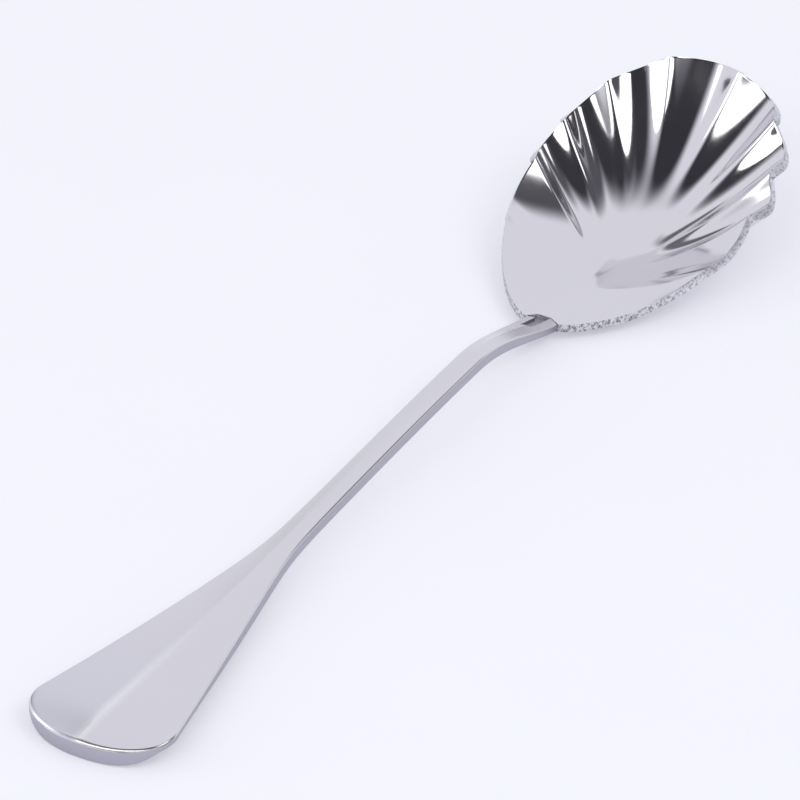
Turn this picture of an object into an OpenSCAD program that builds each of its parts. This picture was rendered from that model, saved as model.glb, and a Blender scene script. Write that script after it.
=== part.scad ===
// Sugar spoon with a fluted scoop bowl, lying on its back.
// +X runs from the handle's end to the bowl's tip and z = 0 is the table.
// Places along the spoon are measured from the handle's end.

/* [Handle] */
// Length of the handle, from its end to the neck
handle_len = 108; // [90:1:130]
// Widest part of the paddle
paddle_w = 18.6; // [14:0.2:22]
// Length of the paddle's rounded end
end_len = 6.6; // [5:0.2:9]
// Where the paddle's straight sides would run into the stem
flare_len = 43; // [34:1:52]
// Length over which the sides bend into the stem
flare_blend = 5; // [2:0.5:10]
// Width of the stem
stem_w = 3.2; // [2.6:0.1:5]
// Width of the neck
neck_w = 4.4; // [3.6:0.1:6]
// Length over which the stem widens to the neck
neck_flare = 14; // [8:1:20]
// Thickness of the stem
stem_t = 1.7; // [1.3:0.1:2.2]
// Thickness of the neck
neck_t = 1.2; // [1:0.1:1.6]
// Thickness of the paddle's sheet
paddle_t = 1; // [0.8:0.1:1.4]
// Where the sheet reaches the stem's thickness
thick_from = 34; // [24:1:44]
// Height of the paddle's top
paddle_z = 2.9; // [2.4:0.1:3.6]
// How far the top droops at the rounded end
end_drop = 0.7; // [0:0.1:1]
// Distance from the end over which the turned-down lip runs out
lip_fade = 4; // [3:0.2:7]
// Radius of the bend into the lip
bend_r = 0.6; // [0.4:0.05:0.9]
// Radius of the eased edges
edge_r = 0.35; // [0.2:0.05:0.4]
// Height of the shallow crown along the handle's middle
crown = 0.25; // [0:0.05:0.5]
// How far the stem rises above the paddle
arch_rise = 3.75; // [2:0.25:6]
// Where the rise starts
arch_from = 12; // [6:1:20]
// How far before the neck the rise ends
arch_back = 9; // [6:1:14]
// Height of the top where the fall toward the bowl ends
heel_z = 1.45; // [1.3:0.05:2]
// How far before the neck the fall starts
drop_back = 19; // [14:1:24]
// How far past the neck the fall ends
drop_past = 6; // [4:0.5:9]

/* [Bowl] */
// Length of the bowl, from the neck to the tip
bowl_len = 47; // [40:1:54]
// Width of the bowl at its middle
bowl_w = 32.1; // [26:0.1:38]
// Fuller toward the tip than toward the heel
tip_full = 0.19; // [0:0.01:0.25]
// Squarer shoulders beside the tip
tip_square = 0.17; // [0:0.01:0.2]
// How far past the neck the rim stays level
heel_flat = 6.6; // [4:0.2:9]
// Length over which the rim bends upward
rim_blend = 3; // [2:0.5:5]
// Slope of the rim past its level part
rim_slope = 0.31; // [0.2:0.01:0.4]
// Extra rise of the rim at the tip
tip_up = 3.9; // [2:0.1:5]
// Thickness of the bowl's sheet
sheet_t = 1.1; // [0.8:0.1:1.3]
// How far past the neck the floor slopes down
heel_run = 20; // [15:1:25]
// Length over which the floor levels out
heel_blend = 4; // [2:0.5:6]
// How far past the neck the floor starts to climb
climb_from = 19.5; // [15:0.5:24]
// How the floor steepens toward the tip
climb_power = 2.2; // [1.8:0.1:2.6]
// Roundness of the wall beside the heel
heel_power = 1.2; // [1.1:0.1:1.8]
// Roundness of the wall past the bowl's middle
wall_power = 2.2; // [1.8:0.1:2.6]

/* [Flutes] */
// Distance from the neck to the point that the flutes fan out from
hub_x = 7.5; // [6:0.5:10]
// Below 1 the flutes bend outward on their way to the rim
fan_bend = 0.355; // [0.3:0.005:0.6]
// Channels on each side of the middle one
side_flutes = 3; // [2:1:4]
// Flute widths that fit along half the rim
half_rim_flutes = 7; // [7:1:9]
// Depth of a channel below its ridges, at the tip
flute_depth = 2.1; // [1:0.1:2.4]
// How much of that depth the flutes beside the heel lack
side_loss = 0.2; // [0:0.05:0.5]
// Rounding of the ridges at the rim
ridge_round = 0.2; // [0.05:0.01:0.3]
// How fast the ridges get rounder on their way down
ridge_soften = 1.6; // [1:0.1:3]
// Share of the wall where the channels start
flute_start = 0.22; // [0.15:0.01:0.3]
// How the channels deepen on their way up the wall
flute_grow = 1.5; // [1:0.1:2]
// Below 1 the flutes are wider at the tip
tip_spread = 0.91; // [0.85:0.01:1]
// How fast the flutes narrow toward the heel
side_squeeze = 0.018; // [0:0.002:0.03]
// How far the middle flute stands to one side, in flute widths
skew = 0.05; // [0:0.01:0.1]

/* [Seam] */
// How far the seam's arm reaches back along the handle
arm_back = 4.4; // [3:0.1:4.8]
// From the neck's middle to the arm's near side
arm_near = 0.7; // [0.4:0.05:0.9]
// From the neck's middle to the arm's far side
arm_far = 0.9; // [0.7:0.05:1.1]
// Width of the seam at the neck's near edge
near_gap = 0.12; // [0.1:0.02:0.3]
// Width of the seam at the neck's far edge
far_gap = 0.2; // [0.1:0.05:0.4]
// How far the seam reaches into the bowl beside its arm
notch_near = 1; // [0.6:0.1:1.2]
// How far it reaches in at the bend of its far arm
notch_far = 1; // [0.6:0.1:1.2]
// From the neck's middle to that bend
notch_y = 1.2; // [1.15:0.05:1.4]
// Depth of the seam below the metal on each side
seam_sunk = 0.4; // [0.2:0.05:0.6]

/* [Hidden] */
steel = [0.80, 0.80, 0.83];
filler = [0.62, 0.61, 0.62];

// Steps along the curves
end_steps = 14;
run_steps = 40;
flute_steps = 8;
wall_steps = 16;

// Derived places
neck_half = neck_w / 2;
stem_half = stem_w / 2;
side_slope = (paddle_w - stem_w) / 2 / (flare_len - end_len);
hub_line = handle_len + hub_x;
last_ridge = side_flutes + 0.5;
half_count = half_rim_flutes * flute_steps;

// The two sides of the handle stay apart: angle at its end, share of the half width along it
end_start = 3;
middle_gap = 0.05;
// Half the width over which the seam's line steps from one side of its arm to the next
step_half = 0.05;
// The handle's lines turn toward the seam over this length, a little more than the seam's arm
seam_margin = 0.4;
seam_run = arm_back + seam_margin;
// Shares of the half width that the underside's inner and outer lip edges keep to
lip_inner = 0.5;
lip_outer = 0.4;
// How the rim leaves the neck's width, and how it turns up at the tip
neck_power = 6;
tip_power = 6;
// Shares of the bowl's length between which its wall gets rounder
heel_share = 0.22;
middle_share = 0.68;
// Rounding along the middle of the heel, as a share of the half width
spine_round = 0.1;
// How the last ridge and the channel behind it run out into the plain heel, in flute widths
heel_ridge = 1;
heel_ridge_power = 1.6;
heel_level = 1.5;
heel_level_power = 0.7;
// Share of a channel's depth that lies below the plain wall
sunk_share = 0.5;

function clamp01(t) = max(0, min(1, t));
function ease(t) = let(u = clamp01(t)) u * u * (3 - 2 * u);
function unit(v) = v / norm(v);
// Level below 0 and rising one for one above it, with a soft bend between
function bent(h, blend) = (h + sqrt(h * h + blend * blend)) / 2;

// Handle, seen from above and from the side
function half_width(x) =
    stem_half
        + side_slope * bent(flare_len - x, flare_blend)
        + (neck_half - stem_half) * ease((x - handle_len + neck_flare) / neck_flare);
function top_z(x) =
    paddle_z
        - end_drop * pow(1 - clamp01(x / end_len), 2)
        + arch_rise * ease((x - arch_from) / (handle_len - arch_back - arch_from))
        - (paddle_z + arch_rise - heel_z) * ease((x - handle_len + drop_back) / (drop_back + drop_past));
function thickness(x) =
    paddle_t
        + (stem_t - paddle_t) * ease((x - end_len) / (thick_from - end_len))
        - (stem_t - neck_t) * ease((x - handle_len + neck_flare) / neck_flare);
function crowned_z(x, y) = top_z(x) + crown * pow(1 - clamp01(abs(y) / half_width(x)), 2);

// Both sides of the seam across the neck, measured from the neck's line: an arm back along the
// handle and one to the far edge
seam_in = [
    [-neck_half, -near_gap],
    [-arm_near - step_half, notch_near - near_gap],
    [-arm_near + step_half, -arm_back],
    [arm_far - step_half, -arm_back],
    [arm_far + step_half, -far_gap],
    [neck_half, -far_gap]
];
seam_out = [[-neck_half, 0], [-arm_near, notch_near], [notch_y, notch_far], [neck_half, 0]];

// The rounded end, then the side: each point with the place on the middle line that it looks to
outline = concat(
    [for (i = [0:end_steps])
        let(a = end_start + (90 - end_start) * i / end_steps, x = end_len * (1 - cos(a)))
        [x, half_width(x) * sin(a), end_len * (1 - cos(a) / 2)]],
    [for (i = [1:run_steps])
        let(x = end_len + (handle_len - end_len) * i / run_steps)
        [x, half_width(x), x]]
);

// Section of one side of the handle, from the middle of the underside round the edge to the top:
// distance in from the edge and distance below the top
function section(x, y, reach, side) =
    let(
        t = thickness(x),
        turned = 1 - ease(x / lip_fade),
        edge = min(edge_r, t / 2),
        bend = edge + (bend_r - edge) * turned,
        depth = t + (crowned_z(x, y) - t) * turned,
        arm = side < 0 ? arm_near : arm_far,
        rows = reach * [
            1 - middle_gap,
            1 - (arm - step_half) / neck_half,
            1 - (arm + step_half) / neck_half
        ]
    )
    concat(
        [for (r = rows) [r, t]],
        [
            [min(t + edge, lip_inner * reach), t], [min(t, lip_outer * reach), depth],
            [edge, depth], [0, depth - edge],
            [0, bend], [bend * (1 - sin(45)), bend * (1 - cos(45))],
            [bend, 0], [lip_inner * reach, 0]
        ],
        [for (j = [2:-1:0]) [rows[j], 0]]
    );
function section_points(o, side) =
    let(reach = norm([o[2] - o[0], o[1]]))
    [for (s = section(o[0], o[1], reach, side))
        let(
            k = s[0] / reach,
            y = side * o[1] * (1 - k),
            x = o[0] + (o[2] - o[0]) * k,
            turned_x = x + lookup(y, seam_in) * clamp01((x - handle_len + seam_run) / seam_run)
        )
        [turned_x, y, crowned_z(turned_x, y) - s[1]]];
function section_ring(o) =
    let(near = section_points(o, -1), far = section_points(o, 1))
    concat(near, [for (j = [len(far) - 1:-1:0]) far[j]]);

// Triangles across a closed chain of points from index a to index b
function zip(a, b) = [for (j = [0:(b - a - 1) / 2 - 1])
    each [[a + j, a + j + 1, b - 1 - j], [a + j, b - 1 - j, b - j]]];

// Closed skin over rings that all have the same number of points. The last cap is split down the
// middle of a ring if halves is set
module skin(rings, halves) {
    m = len(rings[0]);
    last = len(rings) - 1;
    walls = [for (i = [0:last - 1], j = [0:m - 1])
        let(a = i * m + j, b = i * m + (j + 1) % m)
        each [[a, a + m, b], [b, a + m, b + m]]];
    split = concat(zip(0, m / 2 - 1), zip(m / 2, m - 1), [[0, m / 2 - 1, m / 2], [0, m / 2, m - 1]]);
    last_cap = [for (f = halves ? split : zip(0, m - 1)) [for (j = [2:-1:0]) last * m + f[j]]];
    polyhedron([for (r = rings) each r], concat(walls, zip(0, m - 1), last_cap), convexity = 6);
}

// Rim and floor of the plain bowl at a share q of its length
function rim_half(q) =
    let(c = 1 - 2 * q)
    bowl_w * sqrt(q * (1 - q)) * (1 - tip_full * c - tip_square * c * c * c)
        + neck_half * pow(1 - acos(c) / 180, neck_power);
function rim_z(q) =
    top_z(handle_len)
        + rim_slope * (bent(bowl_len * q - heel_flat, rim_blend) - bent(-heel_flat, rim_blend))
        + tip_up * pow(q, tip_power);
function spine_z(q) =
    let(
        slope = (top_z(handle_len) - sheet_t) / bent(heel_run, heel_blend),
        tail = slope * bent(heel_run - bowl_len, heel_blend),
        climb = clamp01((bowl_len * q - climb_from) / (bowl_len - climb_from))
    )
    sheet_t
        + slope * bent(heel_run - bowl_len * q, heel_blend)
        + (rim_z(1) - sheet_t - tail) * pow(climb, climb_power);
function floor_point(x, y) =
    let(
        q = clamp01((x - handle_len) / bowl_len),
        half = rim_half(q),
        across = half > 0 ? clamp01(abs(y) / half) : 1,
        rounder = ease((q - heel_share) / (middle_share - heel_share)),
        power = heel_power + (wall_power - heel_power) * rounder,
        soft = spine_round * (1 - rounder),
        out = (norm([across, soft]) - soft) / (norm([1, soft]) - soft),
        low = spine_z(q)
    )
    [x, y, low + (rim_z(q) - low) * pow(out, power)];

// The whole rim from the neck round the tip and back, then the neck's edge along the seam
neck_places = [
    -(neck_half + arm_near) / 2, -arm_near, (notch_y - arm_near) / 2, notch_y, (neck_half + notch_y) / 2
];
rim = concat(
    [for (i = [-half_count:half_count])
        let(q = (1 - cos(180 * (1 - abs(i) / half_count))) / 2)
        [handle_len + bowl_len * q, (i < 0 ? 1 : -1) * rim_half(q)]],
    [for (y = neck_places) [handle_len + lookup(y, seam_out), y]]
);
rim_n = len(rim);

// Flute widths from the tip at rim point i, and how far point i is from the neck
function flute_place(i) =
    let(
        v = (min(i, 2 * half_count) - half_count) / flute_steps,
        turned = v + skew * max(0, 1 - pow(v / last_ridge, 2))
    )
    abs(turned * (tip_spread + side_squeeze * turned * turned));
function neck_share(i) = ease((half_count - abs(min(i, 2 * half_count) - half_count)) / flute_steps);

// How far along a flute's line has come at a share u of its way out to the side
function fan_share(u) = u > flute_start
    ? pow(u, fan_bend)
    : u / flute_start * pow(flute_start, fan_bend);

// Plain wall of the bowl before fluting, and its direction
function wall_point(i, k) =
    let(u = k / wall_steps, c = rim[(i + rim_n) % rim_n])
    floor_point(hub_line + (c[0] - hub_line) * fan_share(u), c[1] * u);
function wall_normal(i, k) =
    let(
        along = wall_point(i - 1, k) - wall_point(i + 1, k),
        up = wall_point(i, min(k + 1, wall_steps)) - wall_point(i, k - 1),
        n = unit(cross(up, along)),
        f = neck_share(i)
    )
    unit(n * f + [0, 0, 1 - f]);

// Height of the fluting: ridges that are sharp at the rim and rounder further down, between
// round channels
function fluting(i, k) =
    let(
        v = flute_place(i),
        u = k / wall_steps,
        blunt = ridge_round / pow(max(u, flute_start), ridge_soften),
        wave = norm([cos(180 * min(v, last_ridge)), blunt]),
        crest = 1 - (wave - blunt) / (norm([1, blunt]) - blunt),
        past = v - last_ridge,
        ridge = crest * pow(clamp01(1 - past / heel_ridge), heel_ridge_power),
        level = sunk_share * pow(clamp01(1 - past / heel_level), heel_level_power),
        grown = pow(clamp01((u - flute_start) / (1 - flute_start)), flute_grow)
    )
    (ridge - level) * flute_depth * grown * (1 - side_loss * clamp01(v / last_ridge));

inside = [for (k = [1:wall_steps], i = [0:rim_n - 1]) wall_point(i, k) + wall_normal(i, k) * fluting(i, k)];
outside = [for (k = [1:wall_steps], i = [0:rim_n - 1])
    inside[(k - 1) * rim_n + i] - wall_normal(i, k) * sheet_t];

// Triangles of one wall surface whose points start at index base, turned over if flip is set
function wall_faces(base, hub_i, flip) = [for (f = concat(
    [for (i = [0:rim_n - 1]) [hub_i, base + (i + 1) % rim_n, base + i]],
    [for (k = [0:wall_steps - 2], i = [0:rim_n - 1])
        let(a = base + k * rim_n + i, b = base + k * rim_n + (i + 1) % rim_n)
        each [[a, b, b + rim_n], [a, b + rim_n, a + rim_n]]]
)) flip ? [f[2], f[1], f[0]] : f];

// The origin is under the middle of the spoon's length
mid_x = (outline[0][0] + max([for (p = concat(inside, outside)) p[0]])) / 2;
module place() {
    translate([-mid_x, 0, 0])
        children();
}

module bowl() {
    count = len(inside);
    edge = (wall_steps - 1) * rim_n;
    hub = floor_point(hub_line, 0);
    rim_faces = [for (i = [0:rim_n - 1])
        let(a = edge + i, b = edge + (i + 1) % rim_n)
        each [[a, b, count + b], [a, count + b, count + a]]];
    color(steel)
        place()
            polyhedron(
                concat(inside, outside, [hub, hub - [0, 0, sheet_t]]),
                concat(
                    wall_faces(0, 2 * count, false),
                    wall_faces(count, 2 * count + 1, true),
                    rim_faces
                ),
                convexity = 8
            );
}

module handle() {
    color(steel)
        place()
            skin([for (o = outline) section_ring(o)], true);
}

// Filler between the handle and the bowl, sunk below both
module braze_seam() {
    places = concat([for (s = seam_in) if (s[0] < notch_y) s[0]], [notch_y, neck_half]);
    slices = [for (y = places)
        let(
            near_x = handle_len + lookup(y, seam_in),
            far_x = handle_len + lookup(y, seam_out),
            near_z = crowned_z(near_x, y),
            far_z = floor_point(far_x, y)[2]
        )
        [
            [near_x, y, near_z - seam_sunk],
            [near_x, y, near_z - thickness(near_x)],
            [far_x, y, far_z - sheet_t],
            [far_x, y, far_z - seam_sunk]
        ]];
    color(filler)
        place()
            skin(slices, false);
}

handle();
bowl();
braze_seam();
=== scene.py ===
"""Sugar spoon: finished surfaces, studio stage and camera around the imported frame."""

import math

import bmesh
import bpy
from bpy.props import FloatProperty, FloatVectorProperty, PointerProperty
from bpy.types import Operator, Panel, PropertyGroup
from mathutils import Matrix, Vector


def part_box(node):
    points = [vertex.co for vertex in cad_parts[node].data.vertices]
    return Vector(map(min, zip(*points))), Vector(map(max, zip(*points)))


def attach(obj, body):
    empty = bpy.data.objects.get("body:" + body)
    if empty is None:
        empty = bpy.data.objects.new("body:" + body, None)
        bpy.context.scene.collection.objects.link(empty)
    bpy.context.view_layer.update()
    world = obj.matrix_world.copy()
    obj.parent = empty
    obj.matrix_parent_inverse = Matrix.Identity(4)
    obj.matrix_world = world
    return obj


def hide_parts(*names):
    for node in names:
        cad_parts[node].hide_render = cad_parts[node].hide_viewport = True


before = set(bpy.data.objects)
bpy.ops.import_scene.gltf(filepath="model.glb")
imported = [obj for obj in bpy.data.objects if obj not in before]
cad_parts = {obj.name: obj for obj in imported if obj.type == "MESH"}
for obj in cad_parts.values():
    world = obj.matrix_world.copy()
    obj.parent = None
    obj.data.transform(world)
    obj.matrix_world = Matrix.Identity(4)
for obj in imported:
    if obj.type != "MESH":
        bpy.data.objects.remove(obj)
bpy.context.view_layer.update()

bl_info = {
    "name": "Sugar Spoon",
    "version": (1, 0, 0),
    "blender": (4, 5, 0),
    "location": "View3D > Sidebar > Spoon",
    "description": "Builds a fluted sugar spoon on its CAD frame, with a studio stage",
    "category": "Add Mesh",
}

MM = 0.001
# Places along the spoon are measured from the handle's end, which the frame puts here
END_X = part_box("handle")[0].x
# The finished meshes merge points that are closer than this
WELD = 0.001 * MM


def linear(hex_colour):
    """Linear RGBA of an sRGB hex value."""
    parts = [int(hex_colour[i:i + 2], 16) / 255 for i in (1, 3, 5)]
    return [c / 12.92 if c <= 0.04045 else ((c + 0.055) / 1.055) ** 2.4 for c in parts] + [1.0]


def length(name, millimetres, description):
    """A size that a user can change, written here in millimetres."""
    return FloatProperty(
        name=name, description=description, default=millimetres * MM, precision=5, unit="LENGTH"
    )


def share(name, default, description):
    """A plain ratio or exponent that a user can change."""
    return FloatProperty(name=name, description=description, default=default, precision=3)


def angle(name, degrees, description):
    """An angle that a user can change, written here in degrees."""
    return FloatProperty(
        name=name, description=description, default=math.radians(degrees), precision=4, subtype="ANGLE"
    )


def colour(name, hex_colour, description):
    """A colour that a user can change, written here as an sRGB hex value."""
    return FloatVectorProperty(
        name=name, description=description, default=linear(hex_colour), size=4, min=0, max=1, subtype="COLOR"
    )


class HandleSizes(PropertyGroup):
    total: length("Length", 108, "From the handle's end to the neck")
    paddle_w: length("Paddle width", 18.6, "Widest part of the paddle")
    end_len: length("Rounded end", 6.6, "Length of the paddle's rounded end")
    flare_len: length("Flare length", 43, "Where the paddle's sides would run into the stem")
    flare_blend: length("Flare blend", 5, "Length over which the sides bend into the stem")
    stem_w: length("Stem width", 3.2, "Width of the stem")
    neck_w: length("Neck width", 4.4, "Width of the neck")
    neck_flare: length("Neck flare", 14, "Length over which the stem widens to the neck")
    stem_t: length("Stem thickness", 1.7, "Thickness of the stem")
    neck_t: length("Neck thickness", 1.2, "Thickness of the neck")
    paddle_t: length("Paddle thickness", 1.0, "Thickness of the paddle's sheet")
    thick_from: length("Thick from", 34, "Where the sheet reaches the stem's thickness")
    paddle_z: length("Paddle height", 2.9, "Height of the paddle's top")
    end_drop: length("End droop", 0.7, "How far the top droops at the rounded end")
    lip_fade: length("Lip fade", 4, "Distance from the end over which the turned-down lip runs out")
    bend_r: length("Bend radius", 0.6, "Radius of the bend into the lip")
    edge_r: length("Edge radius", 0.35, "Radius of the eased edges")
    crown: length("Crown", 0.25, "Height of the shallow crown along the middle")
    arch_rise: length("Arch rise", 3.75, "How far the stem rises above the paddle")
    arch_from: length("Arch start", 12, "Where the rise starts")
    arch_back: length("Arch end", 9, "How far before the neck the rise ends")
    heel_z: length("Heel height", 1.45, "Height of the top where the fall to the bowl ends")
    drop_back: length("Fall start", 19, "How far before the neck the fall starts")
    drop_past: length("Fall end", 6, "How far past the neck the fall ends")


class BowlSizes(PropertyGroup):
    total: length("Length", 47, "From the neck to the tip")
    width: length("Width", 32.1, "Width of the bowl at its middle")
    tip_full: share("Tip fullness", 0.19, "Fuller toward the tip than toward the heel")
    tip_square: share("Tip squareness", 0.17, "Squarer shoulders beside the tip")
    heel_flat: length("Level rim", 6.6, "How far past the neck the rim stays level")
    rim_blend: length("Rim blend", 3, "Length over which the rim bends upward")
    rim_slope: share("Rim slope", 0.31, "Slope of the rim past its level part")
    tip_up: length("Tip upturn", 3.9, "Extra rise of the rim at the tip")
    sheet_t: length("Sheet", 1.1, "Thickness of the bowl's sheet")
    edge_r: length("Edge easing", 0.18, "How far the edges of the cut rim are eased")
    heel_run: length("Heel run", 20, "How far past the neck the floor slopes down")
    heel_blend: length("Heel blend", 4, "Length over which the floor levels out")
    climb_from: length("Climb start", 19.5, "How far past the neck the floor starts to climb")
    climb_power: share("Climb power", 2.2, "How the floor steepens toward the tip")
    heel_power: share("Heel roundness", 1.2, "Roundness of the wall beside the heel")
    wall_power: share("Wall roundness", 2.2, "Roundness of the wall past the bowl's middle")
    hub_x: length("Fan hub", 7.5, "From the neck to the point that the flutes fan out from")
    fan_bend: share("Fan bend", 0.355, "Below 1 the flutes bend outward on their way to the rim")
    half_rim_flutes: share("Flutes in half a rim", 7, "Flute widths that fit along half the rim")
    last_ridge: share("Last ridge", 3.5, "Where the last ridge stands, in flute widths")
    flute_depth: length("Flute depth", 2.1, "Depth of a channel below its ridges, at the tip")
    side_loss: share("Side loss", 0.2, "How much of that depth the flutes beside the heel lack")
    ridge_round: share("Ridge rounding", 0.2, "Rounding of the ridges at the rim")
    ridge_soften: share("Ridge softening", 1.6, "How fast the ridges get rounder on their way down")
    flute_start: share("Flute start", 0.22, "Share of the wall where the channels start")
    flute_grow: share("Flute growth", 1.5, "How the channels deepen on their way up the wall")
    tip_spread: share("Tip spread", 0.91, "Below 1 the flutes are wider at the tip")
    side_squeeze: share("Side squeeze", 0.018, "How fast the flutes narrow toward the heel")
    skew: share("Skew", 0.05, "How far the middle flute stands to one side, in flute widths")
    heel_ridge: share("Last ridge's run-out", 1.0, "Flute widths over which the last ridge runs out")
    heel_level: share("Last channel", 1.5, "Flute widths over which the last channel runs out")


class SeamSizes(PropertyGroup):
    arm_back: length("Arm's reach", 4.4, "How far the seam's arm reaches back along the handle")
    arm_near: length("Arm's near side", 0.7, "From the neck's middle to the arm's near side")
    arm_far: length("Arm's far side", 0.9, "From the neck's middle to the arm's far side")
    near_gap: length("Near width", 0.12, "Width of the seam at the neck's near edge")
    far_gap: length("Far width", 0.2, "Width of the seam at the neck's far edge")
    notch_near: length("Near notch", 1.0, "How far the seam reaches into the bowl beside its arm")
    notch_far: length("Far notch", 1.0, "How far it reaches in at the bend of its far arm")
    notch_y: length("Bend's place", 1.2, "From the neck's middle to that bend")
    sunk: length("Depth", 0.4, "Depth of the seam below the metal on each side")


class Finishes(PropertyGroup):
    steel: colour("Steel", "#EAE8EB", "Mirror-polished stainless steel")
    # Painted shade: the paddle's far half is a little darker, as its slope turns away from the light
    steel_far_painted_shade: colour("Steel, far half", "#E4E2E9", "The paddle's far half")
    # Painted highlight: a bright line along the crease in the paddle's middle
    steel_painted_highlight: colour("Steel, painted highlight line", "#F8F7F8", "Highlight painted along the paddle's middle")
    # Painted reflection: the sides' satin steel is made grey for a darker reflection than the pale table
    # gives
    side: colour("Handle's side", "#B6B4BF", "Satin sides of the handle")
    cut_edge: colour("Cut edge", "#DEDDE3", "Raw blanked edge of the sheet")
    cut_pits: colour("Cut edge's pits", "#6A686F", "Torn pits in the raw edge")
    # Painted highlight: the cut edge is made brighter toward the tip, where it catches the light
    cut_painted_highlight: colour("Cut edge, painted highlight", "#F3F3FC", "Highlight painted on the cut edge toward the tip")
    filler: colour("Filler", "#A9A7AE", "Braze filler in the seam")
    table: colour("Table", "#F3F4FD", "Matte pale table top")
    table_faint: colour("Table's mottling", "#F1F2FB", "Faint mottling of the table top")
    dark_room: colour("Dark room", "#3C3B41", "Unlit room behind the camera")


class StageSizes(PropertyGroup):
    azimuth: angle("Azimuth", -59.576, "Camera's turn round the spoon")
    elevation: angle("Elevation", 31.633, "Camera's height angle")
    distance: length("Distance", 589.6, "From the camera to the point that it looks at")
    aim_x: length("Aim along", 80, "Point that the camera looks at, from the handle's end")
    aim_z: length("Aim height", 6, "Height of that point")
    aim_right: length("Aim right", -4.193, "Shift of the aim to the right of the picture")
    aim_up: length("Aim up", -0.957, "Shift of the aim up the picture")
    lens: FloatProperty(name="Lens", description="Focal length in millimetres", default=213.6, unit="CAMERA")
    floor: length("Floor", 6000, "Side of the table top")


class Spoon(PropertyGroup):
    handle: PointerProperty(type=HandleSizes)
    bowl: PointerProperty(type=BowlSizes)
    seam: PointerProperty(type=SeamSizes)
    finish: PointerProperty(type=Finishes)
    stage: PointerProperty(type=StageSizes)


def clamp01(t):
    """A number held between 0 and 1."""
    return max(0.0, min(1.0, t))


def ease(t):
    """Smooth step from 0 to 1."""
    u = clamp01(t)
    return u * u * (3 - 2 * u)


def bent(h, blend):
    """Level below 0 and rising one for one above it, with a soft bend between."""
    return (h + math.hypot(h, blend)) / 2


def half_width(handle, x):
    """Half the handle's width, before its end is rounded."""
    slope = (handle.paddle_w - handle.stem_w) / 2 / (handle.flare_len - handle.end_len)
    flare = slope * bent(handle.flare_len - x, handle.flare_blend)
    neck = ease((x - handle.total + handle.neck_flare) / handle.neck_flare)
    return handle.stem_w / 2 + flare + (handle.neck_w - handle.stem_w) / 2 * neck


def top_z(handle, x):
    """Height of the handle's top along its middle, without the crown."""
    rise = ease((x - handle.arch_from) / (handle.total - handle.arch_back - handle.arch_from))
    fall = ease((x - handle.total + handle.drop_back) / (handle.drop_back + handle.drop_past))
    drop = handle.paddle_z + handle.arch_rise - handle.heel_z
    droop = handle.end_drop * (1 - clamp01(x / handle.end_len)) ** 2
    return handle.paddle_z - droop + handle.arch_rise * rise - drop * fall


def crowned_z(handle, x, y):
    """Height of the handle's top."""
    return top_z(handle, x) + handle.crown * (1 - clamp01(abs(y) / half_width(handle, x))) ** 2


def thickness(handle, x):
    """Thickness of the handle's sheet."""
    grow = ease((x - handle.end_len) / (handle.thick_from - handle.end_len))
    thin = ease((x - handle.total + handle.neck_flare) / handle.neck_flare)
    rest = handle.paddle_t + (handle.stem_t - handle.paddle_t) * grow
    return rest - (handle.stem_t - handle.neck_t) * thin


# The handle's lines turn toward the seam over its arm's reach and this much more
SEAM_MARGIN = 0.4 * MM
# Half the width over which the seam's line steps from one side of its arm to the next
STEP_HALF = 0.05 * MM


def read_off(places, y):
    """Value at y on a line through places, which are pairs that ascend."""
    for (y0, v0), (y1, v1) in zip(places, places[1:]):
        if y <= y1:
            return v0 + (v1 - v0) * clamp01((y - y0) / (y1 - y0))
    return places[-1][1]


def seam_in(spoon):
    """The seam's line along the handle, across the neck: places and distances past the neck."""
    seam, half = spoon.seam, spoon.handle.neck_w / 2
    return (
        (-half, -seam.near_gap),
        (-seam.arm_near - STEP_HALF, seam.notch_near - seam.near_gap),
        (-seam.arm_near + STEP_HALF, -seam.arm_back),
        (seam.arm_far - STEP_HALF, -seam.arm_back),
        (seam.arm_far + STEP_HALF, -seam.far_gap),
        (half, -seam.far_gap),
    )


def seam_out(spoon):
    """The seam's line along the bowl."""
    seam, half = spoon.seam, spoon.handle.neck_w / 2
    return ((-half, 0.0), (-seam.arm_near, seam.notch_near), (seam.notch_y, seam.notch_far), (half, 0.0))


def in_frame(point):
    """A point measured from the handle's end, in the frame."""
    return (point[0] + END_X, point[1], point[2])


# Edges that turn more than this look sharp
SHARP_ANGLE = math.radians(35)


def new_piece(context, name, points, faces):
    """A mesh object of those points and faces, welded and smooth."""
    mesh = bpy.data.meshes.new(name)
    mesh.from_pydata([in_frame(p) for p in points], [], faces)
    work = bmesh.new()
    work.from_mesh(mesh)
    bmesh.ops.remove_doubles(work, verts=work.verts, dist=WELD)
    bmesh.ops.dissolve_degenerate(work, edges=work.edges, dist=WELD / 10)
    bmesh.ops.recalc_face_normals(work, faces=work.faces)
    for face in work.faces:
        face.smooth = True
    work.to_mesh(mesh)
    work.free()
    mesh.set_sharp_from_angle(angle=SHARP_ANGLE)
    piece = bpy.data.objects.new(name, mesh)
    context.scene.collection.objects.link(piece)
    return piece


def grid_faces(columns, rows, closed):
    """Quads between columns of points that are listed one column after another."""
    last = columns if closed else columns - 1
    return [
        (
            i * rows + j,
            (i + 1) % columns * rows + j,
            (i + 1) % columns * rows + j + 1,
            i * rows + j + 1,
        )
        for i in range(last)
        for j in range(rows - 1)
    ]


def stand_for(piece, node):
    """The finished piece takes the place of its plain solid."""
    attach(piece, "root")
    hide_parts(node)


def add_node(tree, kind, inputs=None, **settings):
    """Adds one node. Settings are its properties, and inputs its values or what is linked to them."""
    node = tree.nodes.new(kind)
    for name, value in settings.items():
        setattr(node, name, value)
    for key, value in (inputs or {}).items():
        if isinstance(value, bpy.types.Node):
            value = value.outputs[0]
        if isinstance(value, bpy.types.NodeSocket):
            tree.links.new(value, node.inputs[key])
        else:
            node.inputs[key].default_value = value
    return node


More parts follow.
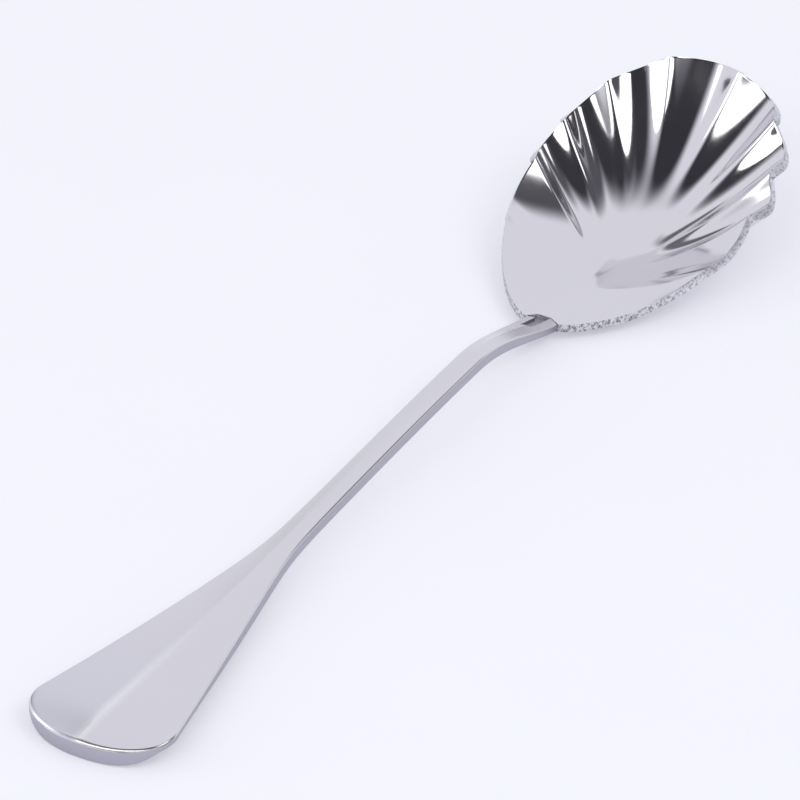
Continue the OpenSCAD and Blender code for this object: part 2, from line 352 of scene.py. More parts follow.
def new_material(name):
    """A material with an empty node tree, and its surface shader."""
    material = bpy.data.materials.new(name)
    material.use_nodes = True
    tree = material.node_tree
    tree.nodes.clear()
    shader = add_node(tree, "ShaderNodeBsdfPrincipled")
    add_node(tree, "ShaderNodeOutputMaterial", {"Surface": shader})
    return material, tree, shader


# Real sizes of the patterns in the finishes
BOWL_HAZE = 9 * MM
HANDLE_HAZE = 12 * MM
GRIND_LENGTH = 8 * MM
GRIND_WIDTH = 0.3 * MM
CUT_GRAIN = 0.4 * MM
CUT_RELIEF = 0.1 * MM
FILLER_RIPPLE = 1.2 * MM
FILLER_RELIEF = 0.15 * MM
TABLE_MOTTLE = 30 * MM
# Smoothest and roughest patches of the finishes
BOWL_ROUGH = (0.05, 0.14)
HANDLE_ROUGH = (0.16, 0.3)
SIDE_ROUGH = (0.25, 0.5)
CUT_ROUGH = 0.4
FILLER_ROUGH = 0.3
TABLE_ROUGH = 0.9
# Part of the noise's range that the bowl's hazier patches take up
HAZE_FROM = 0.35
HAZE_TO = 0.7
# Where the highlight painted along the paddle's middle starts, is brightest and ends, as shares of the
# paddle's width; past it the far half is painted a little darker
PAINTED_LINE_FROM = 0.45
PAINTED_LINE_AT = 0.5
PAINTED_LINE_TO = 0.56
# The painted highlight line and the painted shade of the far half fade out over this share of the flare
PAINTED_LINE_SHARE = 0.65
# Levels of the grain below which the cut edge is a pit and above which it is whole
PIT_LEVEL = 0.37
WHOLE_LEVEL = 0.54
# A highlight is painted onto the raw edge between these distances past the neck, up to this share
HIGHLIGHT_PAINT_FROM = 6 * MM
HIGHLIGHT_PAINT_FULL = 18 * MM
HIGHLIGHT_PAINT_SHARE = 0.4
# Below 1 the cut edge scatters a little of the light instead of mirroring it all
CUT_METAL = 0.85
# Share of the table's brightness, as the camera sees it, that shadows leave alone
OWN_SHARE = 0.4


def polished_steel(finish):
    """Stainless steel, buffed to a mirror: clear reflections with hazier patches."""
    material, tree, shader = new_material("polished_stainless_steel")
    place = add_node(tree, "ShaderNodeTexCoord").outputs["Object"]
    haze = add_node(tree, "ShaderNodeTexNoise", {"Vector": place, "Scale": 1 / BOWL_HAZE, "Detail": 4.0})
    smooth, dull = BOWL_ROUGH
    rough = add_node(
        tree, "ShaderNodeMapRange",
        {"Value": haze, "From Min": HAZE_FROM, "From Max": HAZE_TO, "To Min": smooth, "To Max": dull},
    )
    shader.inputs["Base Color"].default_value = finish.steel
    shader.inputs["Metallic"].default_value = 1.0
    tree.links.new(rough.outputs["Result"], shader.inputs["Roughness"])
    return material


def handle_steel(spoon):
    """The handle's steel: soft mirror, with a fuzzy highlight painted along the crease in the paddle's
    middle and painted shade on the paddle's far half.
    """
    handle, finish = spoon.handle, spoon.finish
    material, tree, shader = new_material("buffed_stainless_steel")
    place = add_node(tree, "ShaderNodeTexCoord").outputs["Object"]
    apart = add_node(tree, "ShaderNodeSeparateXYZ", {"Vector": place})
    across = add_node(
        tree, "ShaderNodeMapRange",
        {"Value": apart.outputs["Y"], "From Min": -handle.paddle_w / 2, "From Max": handle.paddle_w / 2},
    )
    # Across the paddle: a highlight painted along its middle, and painted shade on its far half
    painted_across = add_node(tree, "ShaderNodeValToRGB", {"Fac": across})
    ramp = painted_across.color_ramp.elements
    ramp[0].position, ramp[0].color = PAINTED_LINE_FROM, finish.steel
    ramp[1].position, ramp[1].color = PAINTED_LINE_TO, finish.steel_far_painted_shade
    ramp.new(PAINTED_LINE_AT).color = finish.steel_painted_highlight
    left = add_node(
        tree, "ShaderNodeMapRange",
        {
            "Value": apart.outputs["X"], "From Min": END_X + handle.end_len,
            "From Max": END_X + PAINTED_LINE_SHARE * handle.flare_len, "To Min": 1.0, "To Max": 0.0,
        },
    )
    tone = add_node(
        tree, "ShaderNodeMix", {"Factor": left, "A": finish.steel, "B": painted_across.outputs["Color"]},
        data_type="RGBA",
    )
    haze = add_node(tree, "ShaderNodeTexNoise", {"Vector": place, "Scale": 1 / HANDLE_HAZE, "Detail": 3.0})
    smooth, dull = HANDLE_ROUGH
    rough = add_node(tree, "ShaderNodeMapRange", {"Value": haze, "To Min": smooth, "To Max": dull})
    shader.inputs["Metallic"].default_value = 1.0
    tree.links.new(tone.outputs["Result"], shader.inputs["Base Color"])
    tree.links.new(rough.outputs["Result"], shader.inputs["Roughness"])
    return material


def satin_painted_side(finish):
    """The handle's sides: satin, with fine lengthwise grinding marks, and painted grey to stand for a darker
    reflection than the pale table gives.
    """
    material, tree, shader = new_material("satin_steel_side")
    place = add_node(tree, "ShaderNodeTexCoord").outputs["Object"]
    drawn_out = (1 / GRIND_LENGTH, 1 / GRIND_WIDTH, 1 / GRIND_WIDTH)
    along = add_node(tree, "ShaderNodeMapping", {"Vector": place, "Scale": drawn_out})
    marks = add_node(tree, "ShaderNodeTexNoise", {"Vector": along, "Scale": 1.0, "Detail": 3.0})
    smooth, dull = SIDE_ROUGH
    rough = add_node(tree, "ShaderNodeMapRange", {"Value": marks, "To Min": smooth, "To Max": dull})
    shader.inputs["Base Color"].default_value = finish.side
    shader.inputs["Metallic"].default_value = 1.0
    tree.links.new(rough.outputs["Result"], shader.inputs["Roughness"])
    return material


def cut_edge(spoon):
    """The sheet's blanked edge, left raw: torn and granular at the heel, with a highlight painted on it
    toward the tip.
    """
    finish = spoon.finish
    neck_x = END_X + spoon.handle.total
    material, tree, shader = new_material("raw_cut_steel_edge")
    place = add_node(tree, "ShaderNodeTexCoord").outputs["Object"]
    grain = add_node(
        tree, "ShaderNodeTexNoise",
        {"Vector": place, "Scale": 1 / CUT_GRAIN, "Detail": 3.0, "Roughness": 0.7},
    )
    torn = add_node(tree, "ShaderNodeValToRGB", {"Fac": grain})
    pits, whole = torn.color_ramp.elements
    pits.position, pits.color = PIT_LEVEL, finish.cut_pits
    whole.position, whole.color = WHOLE_LEVEL, finish.cut_edge
    apart = add_node(tree, "ShaderNodeSeparateXYZ", {"Vector": place})
    # A highlight painted onto the edge, growing toward the tip
    bright = add_node(
        tree, "ShaderNodeMapRange",
        {
            "Value": apart.outputs["X"], "From Min": neck_x + HIGHLIGHT_PAINT_FROM, "From Max": neck_x + HIGHLIGHT_PAINT_FULL,
            "To Max": HIGHLIGHT_PAINT_SHARE,
        },
    )
    tone = add_node(
        tree, "ShaderNodeMix", {"Factor": bright, "A": torn.outputs["Color"], "B": finish.cut_painted_highlight},
        data_type="RGBA",
    )
    bump = add_node(tree, "ShaderNodeBump", {"Height": grain, "Distance": CUT_RELIEF, "Strength": 0.6})
    shader.inputs["Metallic"].default_value = CUT_METAL
    shader.inputs["Roughness"].default_value = CUT_ROUGH
    tree.links.new(tone.outputs["Result"], shader.inputs["Base Color"])
    tree.links.new(bump.outputs["Normal"], shader.inputs["Normal"])
    return material


def braze_filler(finish):
    """Braze filler, left as it flowed: a dull grey, a little uneven."""
    material, tree, shader = new_material("dull_braze_filler")
    place = add_node(tree, "ShaderNodeTexCoord").outputs["Object"]
    ripple = add_node(
        tree, "ShaderNodeTexNoise", {"Vector": place, "Scale": 1 / FILLER_RIPPLE, "Detail": 3.0}
    )
    bump = add_node(tree, "ShaderNodeBump", {"Height": ripple, "Distance": FILLER_RELIEF, "Strength": 0.5})
    shader.inputs["Base Color"].default_value = finish.filler
    shader.inputs["Metallic"].default_value = 1.0
    shader.inputs["Roughness"].default_value = FILLER_ROUGH
    tree.links.new(bump.outputs["Normal"], shader.inputs["Normal"])
    return material


def table_top(finish):
    """Matte pale laminate: soft and without gloss, with a very faint mottling."""
    material, tree, shader = new_material("matte_table_top")
    place = add_node(tree, "ShaderNodeTexCoord").outputs["Object"]
    mottle = add_node(
        tree, "ShaderNodeTexNoise", {"Vector": place, "Scale": 1 / TABLE_MOTTLE, "Detail": 2.0}
    )
    tone = add_node(
        tree, "ShaderNodeMix", {"Factor": mottle, "A": finish.table, "B": finish.table_faint},
        data_type="RGBA",
    )
    shader.inputs["Roughness"].default_value = TABLE_ROUGH
    shader.inputs["Specular IOR Level"].default_value = 0.1
    tree.links.new(tone.outputs["Result"], shader.inputs["Base Color"])
    # To the camera, part of the table's brightness is its own, so shadows on it stay faint
    glow = add_node(tree, "ShaderNodeEmission", {"Color": tone.outputs["Result"], "Strength": 1.0})
    seen = add_node(tree, "ShaderNodeLightPath").outputs["Is Camera Ray"]
    own = add_node(tree, "ShaderNodeMath", {0: seen, 1: OWN_SHARE}, operation="MULTIPLY")
    mix = add_node(tree, "ShaderNodeMixShader", {0: own, 1: shader, 2: glow})
    surface = tree.get_output_node("ALL").inputs["Surface"]
    tree.links.new(mix.outputs["Shader"], surface)
    return material


# Steps along the handle's outline and across its section
END_STEPS = 36
SIDE_STEPS = 160
TOP_STEPS = 8
EDGE_STEPS = 7
DROP_STEPS = 3
# Share of the half width outside which the section has its rim
RIM_SHARE = 0.5
# Shares of the half width that the underside's outer and inner lip edges keep to
LIP_OUTER = 0.4
LIP_INNER = 0.45
# Faces of the handle that lean more than this from level are its sides
SIDE_LEAN = 0.4


def handle_outline(handle):
    """Points round one side of the handle, each with the point on the middle line that it looks to."""
    found = []
    for i in range(END_STEPS + 1):
        a = math.pi / 2 * i / END_STEPS
        x = handle.end_len * (1 - math.cos(a))
        y = half_width(handle, x) * math.sin(a)
        middle = handle.end_len * (1 - math.cos(a) / 2)
        found.append((x, y, middle))
    for i in range(1, SIDE_STEPS + 1):
        x = handle.end_len + (handle.total - handle.end_len) * i / SIDE_STEPS
        found.append((x, half_width(handle, x), x))
    return found


def inner_rows(spoon, side):
    """Shares of the way from the edge to the middle, with two rows for the step in the seam's line."""
    arm = spoon.seam.arm_far if side > 0 else spoon.seam.arm_near
    half = spoon.handle.neck_w / 2
    rows = [1 - (1 - RIM_SHARE) * j / TOP_STEPS for j in range(TOP_STEPS + 1)]
    return sorted(rows + [1 - (arm - STEP_HALF) / half, 1 - (arm + STEP_HALF) / half], reverse=True)


def section_steps(spoon, side, x, y, reach):
    """Places round the handle's section: how far in from the edge and how far below the top."""
    handle = spoon.handle
    t = thickness(handle, x)
    turned = 1 - ease(x / handle.lip_fade)
    edge = min(handle.edge_r, t / 2)
    bend = edge + (handle.bend_r - edge) * turned
    depth = t + (crowned_z(handle, x, y) - t) * turned
    rows = inner_rows(spoon, side)
    steps = [(reach * r, 0.0) for r in rows]
    rim = RIM_SHARE * reach
    steps += [(rim + (bend - rim) * j / TOP_STEPS, 0.0) for j in range(1, TOP_STEPS + 1)]
    arc = [math.pi / 2 * j / EDGE_STEPS for j in range(1, EDGE_STEPS + 1)]
    steps += [(bend * (1 - math.sin(a)), bend * (1 - math.cos(a))) for a in arc]
    drop = depth - edge - bend
    steps += [(0.0, bend + drop * j / DROP_STEPS) for j in range(1, DROP_STEPS + 1)]
    steps += [(edge * (1 - math.cos(a)), depth - edge * (1 - math.sin(a))) for a in arc]
    steps.append((min(t, LIP_OUTER * reach), depth))
    steps.append((min(t + edge, LIP_INNER * reach), t))
    steps += [(reach * r, t) for r in reversed(rows)]
    return steps


def handle_section(spoon, side, x, y, middle):
    """Points of the handle's section from the middle of its top, round the edge, to below."""
    handle = spoon.handle
    line, run = seam_in(spoon), spoon.seam.arm_back + SEAM_MARGIN
    reach = math.hypot(middle - x, y)
    points = []
    for inset, below in section_steps(spoon, side, x, y, reach):
        k = inset / reach
        px, py = x + (middle - x) * k, side * y * (1 - k)
        px += read_off(line, py) * clamp01((px - handle.total + run) / run)
        points.append((px, py, crowned_z(handle, px, py) - below))
    return points


class SPOON_OT_handle(Operator):
    """Makes the handle with its eased edges and turned-down end"""

    bl_idname = "spoon.handle"
    bl_label = "Handle"

    def execute(self, context):
        spoon = context.scene.spoon
        outline = handle_outline(spoon.handle)
        points, faces = [], []
        for side in (1, -1):
            start = len(points)
            sections = [handle_section(spoon, side, *place) for place in outline]
            rows = len(sections[0])
            faces += [tuple(start + i for i in f) for f in grid_faces(len(sections), rows, closed=False)]
            points += [p for section in sections for p in section]
            low, high = len(points) - rows, len(points) - 1
            faces += [(low + j, low + j + 1, high - j - 1, high - j) for j in range(rows // 2)]
        piece = new_piece(context, "handle_finished", points, faces)
        piece.data.materials.append(handle_steel(spoon))
        piece.data.materials.append(satin_painted_side(spoon.finish))
        for face in piece.data.polygons:
            face.material_index = 1 if abs(face.normal.z) < SIDE_LEAN else 0
        stand_for(piece, "handle")
        return {"FINISHED"}


# Steps round the bowl's rim, across its neck and down its wall
FLUTE_STEPS = 36
NECK_STEPS = 24
WALL_STEPS = 88
# How the rim leaves the neck's width, and how it turns up at the tip
NECK_POWER = 6
TIP_POWER = 6
# Shares of the bowl's length between which its wall gets rounder
HEEL_SHARE = 0.22
MIDDLE_SHARE = 0.68
# Rounding along the middle of the heel, as a share of the half width
SPINE_ROUND = 0.1
# How the last ridge runs out, and how sharply the channel behind it ends
HEEL_POWER = 1.6
CREASE_POWER = 0.7
# Share of a channel's depth that lies below the plain wall
SUNK_SHARE = 0.5
# Edges of the sheet that turn more than this are eased, in this many steps
EASED_ANGLE = math.radians(55)
EASED_STEPS = 3


def rim_half(spoon, q):
    """Half the bowl's width at a share of its length."""
    bowl = spoon.bowl
    c = 1 - 2 * q
    swell = 2 * math.sqrt(q * (1 - q)) * (1 - bowl.tip_full * c - bowl.tip_square * c ** 3)
    neck = spoon.handle.neck_w / 2 * (1 - math.acos(c) / math.pi) ** NECK_POWER
    return bowl.width / 2 * swell + neck


def rim_height(spoon, q):
    """Height of the rim at a share of the bowl's length."""
    bowl = spoon.bowl
    level = bent(-bowl.heel_flat, bowl.rim_blend)
    climb = bent(bowl.total * q - bowl.heel_flat, bowl.rim_blend) - level
    return top_z(spoon.handle, spoon.handle.total) + bowl.rim_slope * climb + bowl.tip_up * q ** TIP_POWER


def spine_height(spoon, q):
    """Height of the bowl's floor along its middle, at a share of its length."""
    bowl = spoon.bowl
    fall = top_z(spoon.handle, spoon.handle.total) - bowl.sheet_t
    heel = fall / bent(bowl.heel_run, bowl.heel_blend)
    tail = heel * bent(bowl.heel_run - bowl.total, bowl.heel_blend)
    climb = clamp01((bowl.total * q - bowl.climb_from) / (bowl.total - bowl.climb_from))
    down = heel * bent(bowl.heel_run - bowl.total * q, bowl.heel_blend)
    top = rim_height(spoon, 1.0) - bowl.sheet_t - tail
    return bowl.sheet_t + down + top * climb ** bowl.climb_power


def floor_point(spoon, x, y):
    """A point of the bowl's plain inside, before fluting."""
    q = clamp01((x - spoon.handle.total) / spoon.bowl.total)
    half = rim_half(spoon, q)
    across = clamp01(abs(y) / half) if half > WELD else 1.0
    low = spine_height(spoon, q)
    bowl = spoon.bowl
    rounder = ease((q - HEEL_SHARE) / (MIDDLE_SHARE - HEEL_SHARE))
    power = bowl.heel_power + (bowl.wall_power - bowl.heel_power) * rounder
    soft = SPINE_ROUND * (1 - rounder)
    out = (math.hypot(across, soft) - soft) / (math.hypot(1, soft) - soft)
    return (x, y, low + (rim_height(spoon, q) - low) * out ** power)


def rim_places(spoon):
    """Places round the whole rim and across the neck, each with its flute widths from the tip."""
    handle, bowl = spoon.handle, spoon.bowl
    count = round(bowl.half_rim_flutes * FLUTE_STEPS)
    found = []
    for i in range(-count, count + 1):
        q = (1 - math.cos(math.pi * (1 - abs(i) / count))) / 2
        v = i / FLUTE_STEPS
        turned = v + bowl.skew * max(0.0, 1 - (v / bowl.last_ridge) ** 2)
        flute = turned * (bowl.tip_spread + bowl.side_squeeze * turned ** 2)
        side = 1 if i < 0 else -1
        found.append((handle.total + bowl.total * q, side * rim_half(spoon, q), flute))
    for i in range(1, NECK_STEPS):
        y = handle.neck_w * (i / NECK_STEPS - 0.5)
        found.append((handle.total + read_off(seam_out(spoon), y), y, found[0][2]))
    return found


def fan_share(bowl, u):
    """How far along a flute's line has come when it is a share u of the way out to the side."""
    start = bowl.flute_start
    return u ** bowl.fan_bend if u > start else u / start * start ** bowl.fan_bend


def fluting_tree(bowl):
    """Geometry nodes that press the flutes into the plain bowl, along its normals."""
    tree = bpy.data.node_groups.new("fluting", "GeometryNodeTree")
    wanted = {
        "Depth": bowl.flute_depth,
        "Side Loss": bowl.side_loss,
        "Ridge Round": bowl.ridge_round,
        "Ridge Soften": bowl.ridge_soften,
        "Last Ridge": bowl.last_ridge,
        "Heel Ridge": bowl.heel_ridge,
        "Heel Level": bowl.heel_level,
        "Start": bowl.flute_start,
        "Grow": bowl.flute_grow,
    }
    tree.interface.new_socket("Geometry", in_out="INPUT", socket_type="NodeSocketGeometry")
    for name in wanted:
        tree.interface.new_socket(name, in_out="INPUT", socket_type="NodeSocketFloat")
    tree.interface.new_socket("Material", in_out="INPUT", socket_type="NodeSocketMaterial")
    tree.interface.new_socket("Geometry", in_out="OUTPUT", socket_type="NodeSocketGeometry")
    given = add_node(tree, "NodeGroupInput").outputs
    place = add_node(tree, "GeometryNodeInputNamedAttribute", {"Name": "flute_place"}, data_type="FLOAT")
    share_up = add_node(tree, "GeometryNodeInputNamedAttribute", {"Name": "wall_share"}, data_type="FLOAT")
    out = share_up.outputs["Attribute"]
    # Round channels between ridges that are sharp at the rim and get rounder on their way down
    away = add_node(tree, "ShaderNodeMath", {0: place.outputs["Attribute"]}, operation="ABSOLUTE")
    inner = add_node(tree, "ShaderNodeMath", {0: away, 1: given["Last Ridge"]}, operation="MINIMUM")
    turn = add_node(tree, "ShaderNodeMath", {0: inner, 1: math.pi}, operation="MULTIPLY")
    wave = add_node(tree, "ShaderNodeMath", {0: turn}, operation="COSINE")
    up = add_node(tree, "ShaderNodeMath", {0: out, 1: given["Start"]}, operation="MAXIMUM")
    sharp = add_node(tree, "ShaderNodeMath", {0: up, 1: given["Ridge Soften"]}, operation="POWER")
    round_off = add_node(tree, "ShaderNodeMath", {0: given["Ridge Round"], 1: sharp}, operation="DIVIDE")
    side = add_node(tree, "ShaderNodeCombineXYZ", {"X": wave, "Y": round_off})
    flank = add_node(tree, "ShaderNodeVectorMath", {0: side}, operation="LENGTH")
    bottom = add_node(tree, "ShaderNodeCombineXYZ", {"X": 1.0, "Y": round_off})
    full = add_node(tree, "ShaderNodeVectorMath", {0: bottom}, operation="LENGTH")
    crest = add_node(
        tree, "ShaderNodeMapRange",
        {
            "Value": flank.outputs["Value"], "From Min": round_off, "From Max": full.outputs["Value"],
            "To Min": 1.0, "To Max": 0.0,
        },
    )
    # Past the last ridge: the ridge runs out first, then the channel behind it
    past = add_node(tree, "ShaderNodeMath", {0: away, 1: given["Last Ridge"]}, operation="SUBTRACT")
    gone = add_node(
        tree, "ShaderNodeMapRange",
        {"Value": past, "From Max": given["Heel Ridge"], "To Min": 1.0, "To Max": 0.0},
    )
    run_out = add_node(tree, "ShaderNodeMath", {0: gone, 1: HEEL_POWER}, operation="POWER")
    ridge = add_node(tree, "ShaderNodeMath", {0: crest, 1: run_out}, operation="MULTIPLY")
    left = add_node(
        tree, "ShaderNodeMapRange",
        {"Value": past, "From Max": given["Heel Level"], "To Min": 1.0, "To Max": 0.0},
    )
    crease = add_node(tree, "ShaderNodeMath", {0: left, 1: CREASE_POWER}, operation="POWER")
    level = add_node(tree, "ShaderNodeMath", {0: crease, 1: SUNK_SHARE}, operation="MULTIPLY")
    shape = add_node(tree, "ShaderNodeMath", {0: ridge, 1: level}, operation="SUBTRACT")
    # The flutes deepen on their way up the wall
    way = add_node(tree, "ShaderNodeMapRange", {"Value": out, "From Min": given["Start"]})
    rise = add_node(tree, "ShaderNodeMath", {0: way, 1: given["Grow"]}, operation="POWER")
    grown = add_node(tree, "ShaderNodeMath", {0: rise, 1: given["Depth"]}, operation="MULTIPLY")
    # They are deepest at the tip
    beside = add_node(
        tree, "ShaderNodeMath", {0: away, 1: given["Last Ridge"]}, operation="DIVIDE", use_clamp=True
    )
    lost = add_node(tree, "ShaderNodeMath", {0: beside, 1: given["Side Loss"]}, operation="MULTIPLY")
    kept = add_node(tree, "ShaderNodeMath", {0: 1.0, 1: lost}, operation="SUBTRACT")
    deep = add_node(tree, "ShaderNodeMath", {0: grown, 1: kept}, operation="MULTIPLY")
    height = add_node(tree, "ShaderNodeMath", {0: shape, 1: deep}, operation="MULTIPLY")
    normal = add_node(tree, "GeometryNodeInputNormal")
    move = add_node(tree, "ShaderNodeVectorMath", {0: normal, "Scale": height}, operation="SCALE")
    pressed = add_node(tree, "GeometryNodeSetPosition", {"Geometry": given["Geometry"], "Offset": move})
    smooth = add_node(tree, "GeometryNodeSetShadeSmooth", {"Geometry": pressed})
    real = add_node(tree, "GeometryNodeRealizeInstances", {"Geometry": smooth})
    dressed = add_node(tree, "GeometryNodeSetMaterial", {"Geometry": real, "Material": given["Material"]})
    add_node(tree, "NodeGroupOutput", {"Geometry": dressed})
    return tree, wanted


def apply_nodes(context, piece, tree, values):
    """Runs a geometry node tree on a piece and keeps the result as its plain mesh."""
    modifier = piece.modifiers.new("nodes", "NODES")
    modifier.node_group = tree
    for item in tree.interface.items_tree:
        if item.in_out == "INPUT" and item.name in values:
            modifier[item.identifier] = values[item.name]
    evaluated = piece.evaluated_get(context.evaluated_depsgraph_get())
    made = bpy.data.meshes.new_from_object(evaluated)
    piece.modifiers.remove(modifier)
    piece.data = made


class SPOON_OT_bowl(Operator):
    """Makes the bowl with its flutes, its sheet's thickness and its raw rim"""

    bl_idname = "spoon.bowl"
    bl_label = "Bowl"

    def execute(self, context):
        spoon = context.scene.spoon
        bowl = spoon.bowl
        rim = rim_places(spoon)
        hub_x = spoon.handle.total + bowl.hub_x
        points, place, wall = [], [], []
        for x, y, flute in rim:
            for k in range(1, WALL_STEPS + 1):
                u = k / WALL_STEPS
                points.append(floor_point(spoon, hub_x + (x - hub_x) * fan_share(bowl, u), y * u))
                place.append(flute)
                wall.append(u)
        faces = grid_faces(len(rim), WALL_STEPS, closed=True)
        hub = len(points)
        points.append(floor_point(spoon, hub_x, 0.0))
        place.append(0.0)
        wall.append(0.0)
        count = len(rim)
        faces += [(hub, (i + 1) % count * WALL_STEPS, i * WALL_STEPS) for i in range(count)]
        mesh = bpy.data.meshes.new("bowl_finished")
        mesh.from_pydata([in_frame(p) for p in points], [], faces)
        for name, values in (("flute_place", place), ("wall_share", wall)):
            mesh.attributes.new(name, "FLOAT", "POINT").data.foreach_set("value", values)
        piece = bpy.data.objects.new("bowl_finished", mesh)
        context.scene.collection.objects.link(piece)
        if mesh.polygons[0].normal.z < 0:
            mesh.flip_normals()
        tree, values = fluting_tree(bowl)
        apply_nodes(context, piece, tree, dict(values, Material=polished_steel(spoon.finish)))
        piece.data.materials.append(cut_edge(spoon))
        sheet = piece.modifiers.new("sheet", "SOLIDIFY")
        sheet.thickness = bowl.sheet_t
        sheet.offset = -1.0
        sheet.material_offset_rim = 1
        eased_edge = piece.modifiers.new("eased_edge", "BEVEL")
        eased_edge.width = bowl.edge_r
        eased_edge.segments = EASED_STEPS
        eased_edge.limit_method = "ANGLE"
        eased_edge.angle_limit = EASED_ANGLE
        stand_for(piece, "bowl")
        return {"FINISHED"}


# Steps between the corners of the seam's lines
SEAM_STEPS = 6


class SPOON_OT_seam(Operator):
    """Makes the sunk braze seam with its arm along the handle and its arm across the neck"""

    bl_idname = "spoon.seam"
    bl_label = "Braze seam"

    def execute(self, context):
        spoon = context.scene.spoon
        handle, sunk = spoon.handle, spoon.seam.sunk
        near_line, far_line = seam_in(spoon), seam_out(spoon)
        corners = sorted({y for y, _ in near_line + far_line})
        places = [
            low + (high - low) * i / SEAM_STEPS
            for low, high in zip(corners, corners[1:])
            for i in range(SEAM_STEPS)
        ]
        slices = []
        for y in places + [corners[-1]]:
            near, far = handle.total + read_off(near_line, y), handle.total + read_off(far_line, y)
            near_z, far_z = crowned_z(handle, near, y), floor_point(spoon, far, y)[2]
            first = (near, y, near_z - sunk)
            slices.append([
                first,
                (near, y, near_z - thickness(handle, near)),
                (far, y, far_z - spoon.bowl.sheet_t),
                (far, y, far_z - sunk),
                first,
            ])
        rows = len(slices[0])
        last = (len(slices) - 1) * rows
        faces = grid_faces(len(slices), rows, closed=False)
        faces += [(0, 1, 2, 3), (last + 3, last + 2, last + 1, last)]
        points = [p for corners_here in slices for p in corners_here]
        piece = new_piece(context, "seam_finished", points, faces)
        piece.data.materials.append(braze_filler(spoon.finish))
        stand_for(piece, "braze_seam")
        return {"FINISHED"}


# Dark parts of the room: degrees left of the camera's look, degrees up, the cosines of the angles
# at which the dark starts and is full, and how dark it gets
DARK_PARTS = (
    (155, 55, 0.62, 0.9, 1.0),
    (-105, 45, 0.72, 0.88, 0.93),
    (27, 35, 0.976, 0.992, 0.85),
)
# Softboxes: degrees left of the camera's look, degrees up, width and height in metres
SOFTBOXES = ((84, 21, 0.45, 0.6), (150, 39, 1.3, 0.45), (-115, 50, 0.8, 0.55))
SOFTBOX_DISTANCE = 1.2
SOFTBOX_LIGHT = 1.7
# Light of the mirrored studio and even light on matte things, as shares of white
MIRRORED_LIGHT = 0.87
EVEN_LIGHT = 0.77


def camera_axes(stage):
    """The picture's right, up and back directions."""
    a, e = stage.azimuth, stage.elevation
    back = Vector((math.sin(a) * math.cos(e), -math.cos(a) * math.cos(e), math.sin(e)))
    right = Vector((math.cos(a), math.sin(a), 0.0))
    return right, back.cross(right), back


def room_direction(stage, turn, height):
    """A direction from the spoon: degrees left of the camera's look, and degrees up."""
    look = -camera_axes(stage)[2]
    a = math.atan2(look.y, look.x) + math.radians(turn)
    e = math.radians(height)
    return Vector((math.cos(a) * math.cos(e), math.sin(a) * math.cos(e), math.sin(e)))


def softbox(context, name, direction, wide, tall):
    """A rectangular softbox that faces the spoon."""
    lamp = bpy.data.lights.new(name, "AREA")
    lamp.shape = "RECTANGLE"
    lamp.size, lamp.size_y = wide, tall
    # A flat lamp of radiance L gives out pi times L times its area
    lamp.energy = SOFTBOX_LIGHT * math.pi * wide * tall
    holder = bpy.data.objects.new(name, lamp)
    holder.location = direction * SOFTBOX_DISTANCE
    holder.rotation_euler = direction.to_track_quat("Z", "Y").to_euler()
    holder.visible_camera = False
    context.scene.collection.objects.link(holder)


def studio_world(context, spoon):
    """A pale studio round the spoon, with the unlit parts of the room that the metal mirrors."""
    world = bpy.data.worlds.new("studio")
    context.scene.world = world
    world.use_nodes = True
    tree = world.node_tree
    tree.nodes.clear()
    place = add_node(tree, "ShaderNodeTexCoord").outputs["Generated"]
    tone = spoon.finish.table
    for turn, height, start, full, depth in DARK_PARTS:
        toward = add_node(
            tree, "ShaderNodeVectorMath", {0: place, 1: room_direction(spoon.stage, turn, height)},
            operation="DOT_PRODUCT",
        )
        gloom = add_node(
            tree, "ShaderNodeMapRange",
            {"Value": toward.outputs["Value"], "From Min": start, "From Max": full, "To Max": depth},
            interpolation_type="SMOOTHSTEP",
        )
        mix = add_node(
            tree, "ShaderNodeMix", {"Factor": gloom, "A": tone, "B": spoon.finish.dark_room},
            data_type="RGBA",
        )
        tone = mix.outputs["Result"]
    mirrored = add_node(tree, "ShaderNodeBackground", {"Color": tone, "Strength": MIRRORED_LIGHT})
    even = add_node(tree, "ShaderNodeBackground", {"Color": (1, 1, 1, 1), "Strength": EVEN_LIGHT})
    path = add_node(tree, "ShaderNodeLightPath")
    seen = add_node(
        tree, "ShaderNodeMixShader", {0: path.outputs["Is Glossy Ray"], 1: even, 2: mirrored}
    )
    add_node(tree, "ShaderNodeOutputWorld", {"Surface": seen})


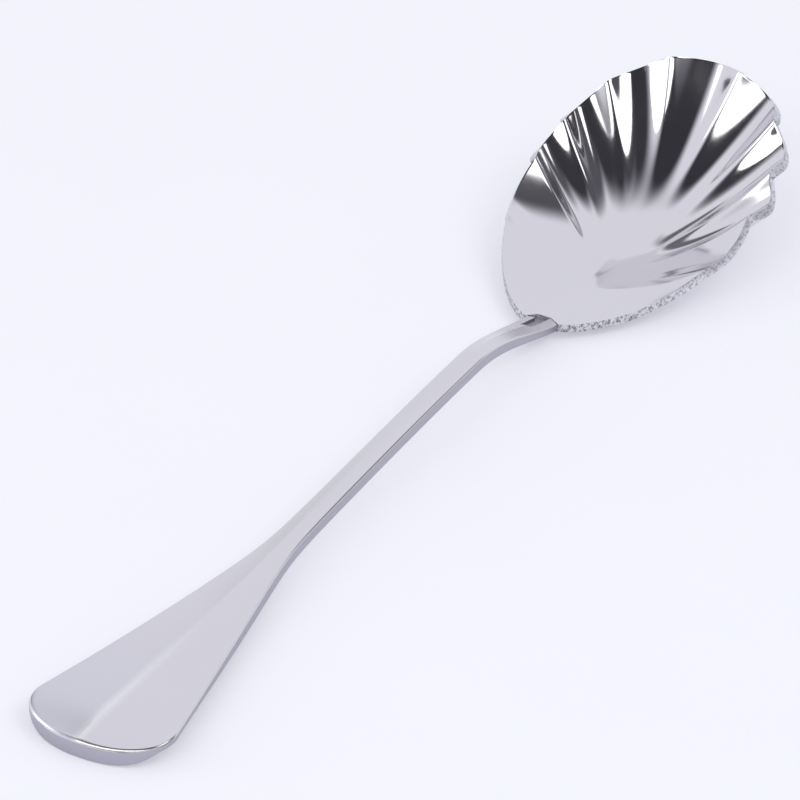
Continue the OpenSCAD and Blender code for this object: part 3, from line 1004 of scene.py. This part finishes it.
class SPOON_OT_stage(Operator):
    """Makes the table top, the studio light and the camera"""

    bl_idname = "spoon.stage"
    bl_label = "Stage"

    def execute(self, context):
        spoon = context.scene.spoon
        stage = spoon.stage
        context.scene.view_settings.view_transform = "Standard"
        half = stage.floor / 2
        mesh = bpy.data.meshes.new("table_top")
        mesh.from_pydata(
            [(-half, -half, 0), (half, -half, 0), (half, half, 0), (-half, half, 0)], [], [(0, 1, 2, 3)]
        )
        mesh.materials.append(table_top(spoon.finish))
        floor = bpy.data.objects.new("table_top", mesh)
        context.scene.collection.objects.link(floor)
        studio_world(context, spoon)
        for i, (turn, height, wide, tall) in enumerate(SOFTBOXES):
            softbox(context, f"softbox_{i}", room_direction(stage, turn, height), wide, tall)
        right, up, back = camera_axes(stage)
        aim = Vector(in_frame((stage.aim_x, 0.0, stage.aim_z)))
        aim += right * stage.aim_right + up * stage.aim_up
        view = bpy.data.cameras.new("camera")
        view.lens = stage.lens
        camera = bpy.data.objects.new("camera", view)
        camera.location = aim + back * stage.distance
        camera.rotation_euler = back.to_track_quat("Z", "Y").to_euler()
        context.scene.collection.objects.link(camera)
        context.scene.camera = camera
        return {"FINISHED"}


BUILD_STEPS = (SPOON_OT_handle, SPOON_OT_bowl, SPOON_OT_seam, SPOON_OT_stage)


class SPOON_PT_panel(Panel):
    """Sizes, finishes and build steps of the spoon"""

    bl_idname = "SPOON_PT_panel"
    bl_label = "Sugar Spoon"
    bl_space_type = "VIEW_3D"
    bl_region_type = "UI"
    bl_category = "Spoon"

    def draw(self, context):
        spoon = context.scene.spoon
        for group in (spoon.handle, spoon.bowl, spoon.seam, spoon.finish, spoon.stage):
            box = self.layout.box()
            for name in group.__annotations__:
                box.prop(group, name)
        for step in BUILD_STEPS:
            self.layout.operator(step.bl_idname)


CLASSES = (HandleSizes, BowlSizes, SeamSizes, Finishes, StageSizes, Spoon, *BUILD_STEPS, SPOON_PT_panel)


def register():
    for cls in CLASSES:
        bpy.utils.register_class(cls)
    bpy.types.Scene.spoon = PointerProperty(type=Spoon)


def unregister():
    del bpy.types.Scene.spoon
    for cls in reversed(CLASSES):
        bpy.utils.unregister_class(cls)


def main():
    register()
    bpy.ops.spoon.handle()
    bpy.ops.spoon.bowl()
    bpy.ops.spoon.seam()
    bpy.ops.spoon.stage()


if __name__ == "__main__":
    main()
